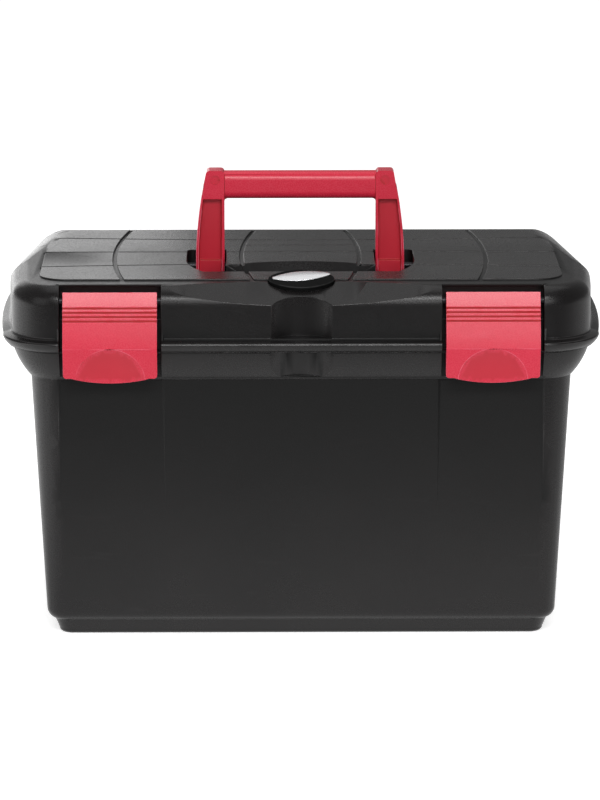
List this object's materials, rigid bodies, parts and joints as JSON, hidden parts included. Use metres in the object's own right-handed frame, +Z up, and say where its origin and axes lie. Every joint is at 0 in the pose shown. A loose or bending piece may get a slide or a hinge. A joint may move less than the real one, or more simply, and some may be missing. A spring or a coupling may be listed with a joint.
{
  "type": "grooming tack box",
  "caption": "Lidded plastic carrying box with a flared tub, hinged panelled lid, flap latches, fold-down carry handle and a lift-out divided tray.",
  "frame": {"origin": "middle of the plinth's flat underside, on the surface that the box stands on", "axes": "+X to the right along the width, +Y to the back where the hinges are, +Z up; the latches face -Y"},
  "size_m": [0.406, 0.2635, 0.3023],
  "materials": {
    "black_plastic": "fine grained satin",
    "red_plastic": "satin",
    "grey_plastic": "fine grained satin",
    "steel": "blackened, drawn",
    "badge_black": "gloss",
    "badge_silver": "bright satin"
  },
  "bodies": {
    "base": {"tub": "black_plastic", "hinge_pin_left": "steel", "hinge_pin_right": "steel"},
    "lid": {"lid": "black_plastic", "handle_pin_left": "steel", "handle_pin_right": "steel", "latch_pin_left": "steel", "latch_pin_right": "steel", "badge_base": "badge_black", "badge_plate": "badge_silver"},
    "handle": {"carry_handle": "red_plastic"},
    "latch_left": {"latch_left": "red_plastic"},
    "latch_right": {"latch_right": "red_plastic"},
    "tray": {"tray": "grey_plastic", "tray_grip": "grey_plastic"}
  },
  "joints": [
    {"name": "lid_hinge", "type": "hinge", "parent": "base", "child": "lid", "pos_m": [0, 0.1315, 0.2006], "axis": [-1, 0, 0], "range_deg": [0, 100]},
    {"name": "handle_fold", "type": "hinge", "parent": "lid", "child": "handle", "pos_m": [0, 0, 0.2355], "axis": [1, 0, 0], "range_deg": [0, 90]},
    {"name": "latch_left_flap", "type": "hinge", "parent": "lid", "child": "latch_left", "pos_m": [-0.1261, -0.111, 0.234], "axis": [-1, 0, 0], "range_deg": [0, 95]},
    {"name": "latch_right_flap", "type": "hinge", "parent": "lid", "child": "latch_right", "pos_m": [0.1261, -0.111, 0.234], "axis": [-1, 0, 0], "range_deg": [0, 95]},
    {"name": "tray_lift", "type": "slide", "parent": "base", "child": "tray", "axis": [0, 0, 1], "range_m": [0, 0.015]}
  ]
}
